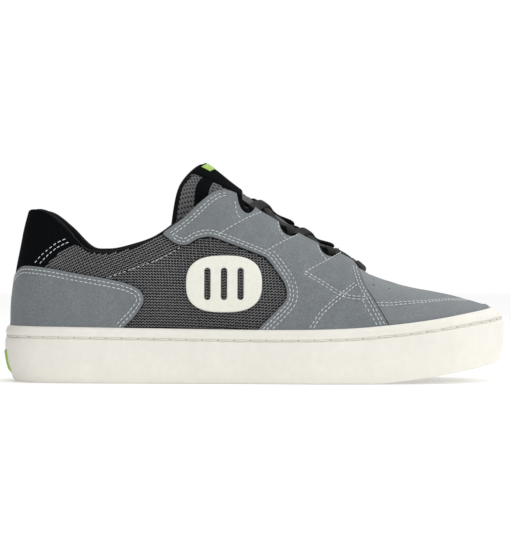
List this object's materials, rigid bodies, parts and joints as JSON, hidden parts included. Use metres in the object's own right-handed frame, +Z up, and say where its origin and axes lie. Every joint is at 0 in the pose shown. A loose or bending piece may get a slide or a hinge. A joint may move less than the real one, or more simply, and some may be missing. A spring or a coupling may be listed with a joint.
{
  "type": "skateboarding shoe",
  "caption": "Low lace-up skateboarding shoe for the right foot, with a cup sole, suede overlays, a mesh side and a padded collar and tongue.",
  "frame": {"origin": "on the floor, under the middle of the footprint", "axes": "+X towards the toe, +Y towards the inner side of the foot, +Z up"},
  "size_m": [0.2964, 0.1044, 0.129],
  "materials": {
    "off_white_rubber": "matt moulded rubber",
    "grey_suede": "brushed suede",
    "charcoal_mesh": "woven mesh",
    "black_fabric": "matt brushed fabric",
    "grey_lining": "spacer mesh",
    "black_lace": "flat woven lace",
    "lime_rubber": "matt moulded rubber"
  },
  "bodies": {
    "root": {"outsole": "off_white_rubber", "insole": "grey_lining", "upper": "charcoal_mesh", "quarter_lateral": "grey_suede", "quarter_medial": "grey_suede", "heel_counter": "grey_suede", "heel_tab": "black_fabric", "side_vent_lateral": "off_white_rubber", "side_vent_medial": "off_white_rubber", "tongue": "grey_lining", "tongue_label": "black_fabric", "lace_bar": "black_lace", "lace_crossing_1": "black_lace", "lace_crossing_2": "black_lace", "lace_crossing_3": "black_lace", "heel_badge": "lime_rubber"}
  },
  "joints": []
}
